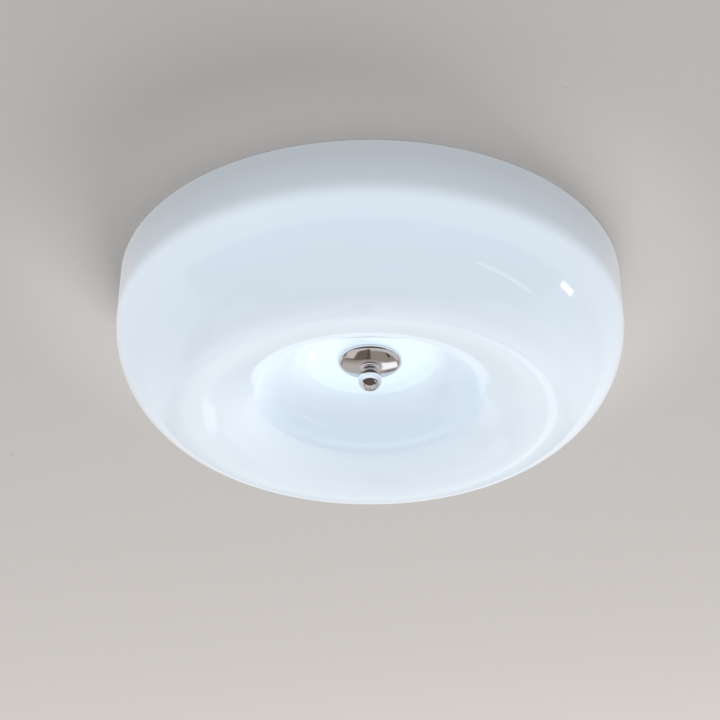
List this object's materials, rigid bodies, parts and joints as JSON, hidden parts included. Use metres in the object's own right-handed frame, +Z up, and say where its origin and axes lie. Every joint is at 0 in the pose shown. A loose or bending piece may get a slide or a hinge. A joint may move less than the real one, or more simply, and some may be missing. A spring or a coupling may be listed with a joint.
{
  "type": "flush ceiling light",
  "caption": "Round flush ceiling light with a blown opal glass shade, dimpled underneath and held by a chrome cap and ball nut; LED ring, driver and terminals on a steel pan.",
  "frame": {"origin": "centre of the mounting bar's top face, on the ceiling plane and on the lamp's axis", "axes": "+Z up into the ceiling, X along the mounting bar; the lamp hangs towards -Z and is seen from -Y and below"},
  "size_m": [0.3999, 0.4, 0.1177],
  "materials": {
    "opal_glass": "blown opal white glass, fire polished, lit from inside",
    "chrome": "mirror polished",
    "white_steel": "satin white powder coat",
    "zinc_steel": "bright zinc plated",
    "brass": "plain turned brass",
    "silicone": "soft translucent silicone",
    "black_rubber": "matte black rubber",
    "nylon": "natural nylon",
    "dark_nylon": "dark nylon",
    "driver_plastic": "fine textured white plastic",
    "terminal_plastic": "ivory moulded plastic",
    "board_white": "white solder mask on aluminium",
    "board_green": "green solder mask",
    "led_chip": "yellow phosphor, lit",
    "lens": "clear moulded lens",
    "copper_coil": "enamelled copper winding in a dark core",
    "capacitor_sleeve": "shrink sleeve",
    "brown_wire": "brown insulation",
    "blue_wire": "blue insulation",
    "earth_wire": "green and yellow insulation",
    "red_wire": "red insulation",
    "black_wire": "black insulation"
  },
  "bodies": {
    "chassis": {"mounting_bar": "zinc_steel", "bar_studs": "zinc_steel", "stud_nuts": "zinc_steel", "stud_washers": "zinc_steel", "cap_nuts": "chrome", "chassis_pan": "white_steel", "earth_stud": "zinc_steel", "earth_lug": "brass", "earth_nut": "zinc_steel", "terminal_block": "terminal_plastic", "terminal_inserts": "brass", "terminal_screws": "zinc_steel", "terminal_fixing_screws": "zinc_steel", "driver_case": "driver_plastic", "driver_lid": "driver_plastic", "driver_lid_screws": "zinc_steel", "driver_board": "board_green", "driver_transformer": "copper_coil", "driver_capacitors": "capacitor_sleeve", "driver_screws": "zinc_steel", "live_lead": "brown_wire", "neutral_lead": "blue_wire", "earth_lead": "earth_wire", "led_lead_red": "red_wire", "led_lead_black": "black_wire", "lead_grommet": "black_rubber", "lead_plug": "nylon", "board_socket": "nylon", "led_board": "board_white", "led_chips": "led_chip", "led_lenses": "lens", "board_screws": "zinc_steel", "centre_rod": "zinc_steel", "rod_top_nut": "zinc_steel", "rod_top_washer": "zinc_steel", "rod_bottom_washer": "zinc_steel", "rod_bottom_nut": "zinc_steel", "stop_nut": "zinc_steel"},
    "shade": {"inner_plate": "zinc_steel", "inner_gasket": "silicone", "glass_bush": "nylon", "glass_shade": "opal_glass"},
    "cap": {"cap_gasket": "silicone", "chrome_cap": "chrome"},
    "washer": {"finial_washer": "dark_nylon"},
    "finial": {"finial": "chrome"}
  },
  "joints": [
    {"name": "shade_drop", "type": "slide", "parent": "chassis", "child": "shade", "axis": [0, 0, -1], "range_m": [0, 0.15]},
    {"name": "cap_drop", "type": "slide", "parent": "shade", "child": "cap", "axis": [0, 0, -1], "range_m": [0, 0.03]},
    {"name": "finial_travel", "type": "slide", "parent": "cap", "child": "washer", "axis": [0, 0, -1], "range_m": [0, 0.0101]},
    {"name": "finial_spin", "type": "hinge", "parent": "washer", "child": "finial", "pos_m": [0, 0, -0.0737], "axis": [0, 0, -1], "range_deg": [0, 3600]}
  ],
  "couplings": [
    {"joint": "finial_travel", "follows": "finial_spin", "m_per_rad": 0.00015915}
  ]
}
